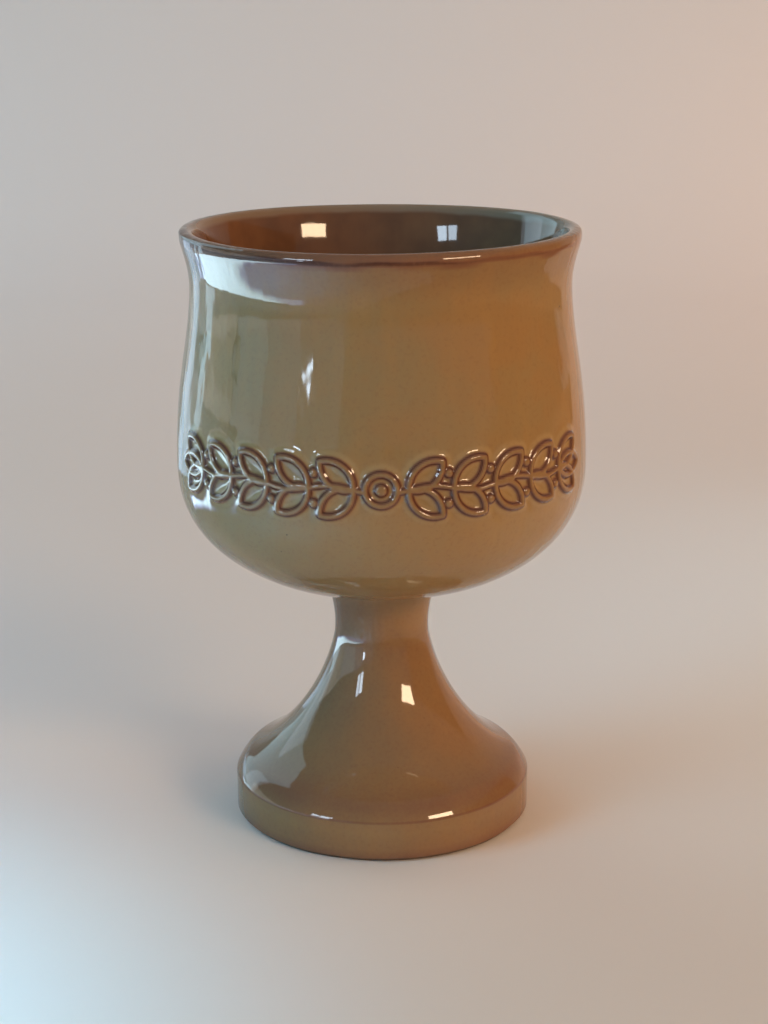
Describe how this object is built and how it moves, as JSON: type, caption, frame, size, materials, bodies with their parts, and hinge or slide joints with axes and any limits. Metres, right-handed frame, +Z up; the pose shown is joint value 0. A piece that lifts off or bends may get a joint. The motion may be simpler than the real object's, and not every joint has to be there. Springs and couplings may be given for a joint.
{
  "type": "stoneware beer chalice",
  "caption": "Glazed stoneware goblet with a deep rounded bowl, flared lip, narrow waisted stem and hollow spreading foot, for serving a glass of beer with its head.",
  "frame": {"origin": "on the axis of the chalice, in the plane that its foot ring stands on", "axes": "+Z up along the axis of revolution, -Y towards the front, where the bowl carries its raised ornament"},
  "size_m": [0.1014, 0.1014, 0.15],
  "materials": {
    "stoneware_clay": "bare fired clay, matt and slightly gritty",
    "slip": "fired clay slip, matt",
    "brown_glaze": "glossy brown lining",
    "tan_glaze": "glossy tan-brown coat, mottled, breaking to red-brown on edges"
  },
  "bodies": {
    "root": {"bowl": "stoneware_clay", "pedestal": "stoneware_clay", "luting_slip": "slip", "liner_glaze": "brown_glaze", "outer_glaze": "tan_glaze"}
  },
  "joints": []
}
